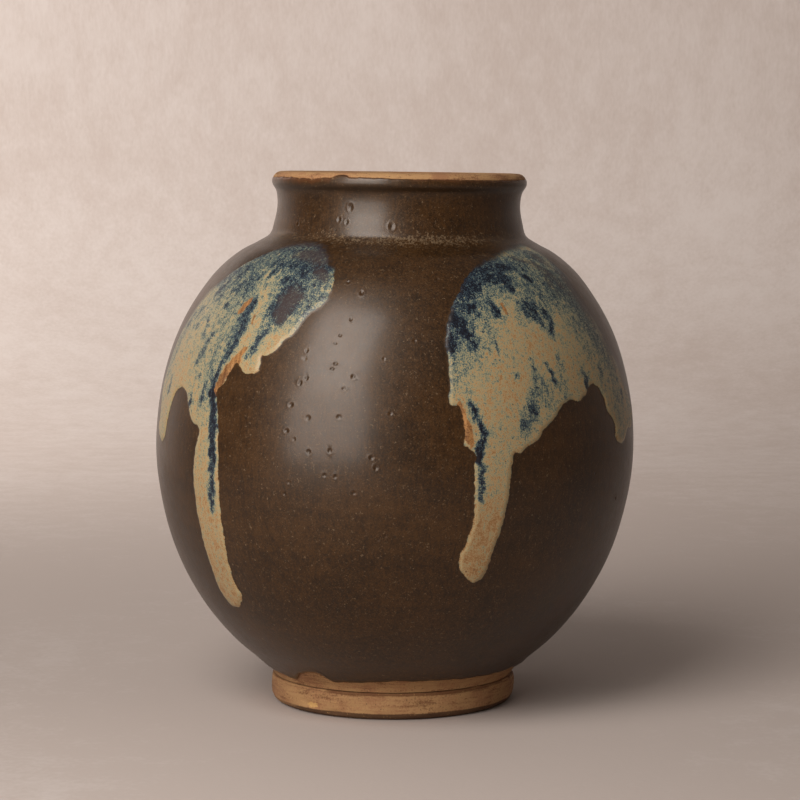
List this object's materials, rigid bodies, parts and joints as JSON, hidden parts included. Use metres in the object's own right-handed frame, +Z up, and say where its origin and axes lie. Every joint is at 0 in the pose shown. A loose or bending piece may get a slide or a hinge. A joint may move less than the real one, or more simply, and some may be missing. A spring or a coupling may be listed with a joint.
{
  "type": "jar",
  "caption": "Round-shouldered stoneware storage jar: turned foot ring, two luted body sections, short waisted neck, rolled lip, brown glaze and poured drip splashes.",
  "frame": {"origin": "on the table, under the middle of the jar's bounding box", "axes": "+Z up through the mouth; -Y is the side that the picture shows, and +X is on its right"},
  "size_m": [0.262, 0.262, 0.2908],
  "materials": {
    "bare_clay": "unglazed buff stoneware, dry and faintly rough, stained brown in places",
    "brown_glaze": "dark olive-brown iron glaze, satin, with pinholes and fine specks",
    "splash_glaze": "thick opaque buff glaze that breaks to blue-black and grey-green, satin"
  },
  "bodies": {
    "root": {"foot_ring": "bare_clay", "lower_body": "bare_clay", "upper_body": "bare_clay", "neck": "bare_clay", "lip": "bare_clay", "outer_glaze": "brown_glaze", "inner_glaze": "brown_glaze", "splash_left": "splash_glaze", "splash_right": "splash_glaze", "splash_back_right": "splash_glaze", "splash_back_left": "splash_glaze"}
  },
  "joints": []
}
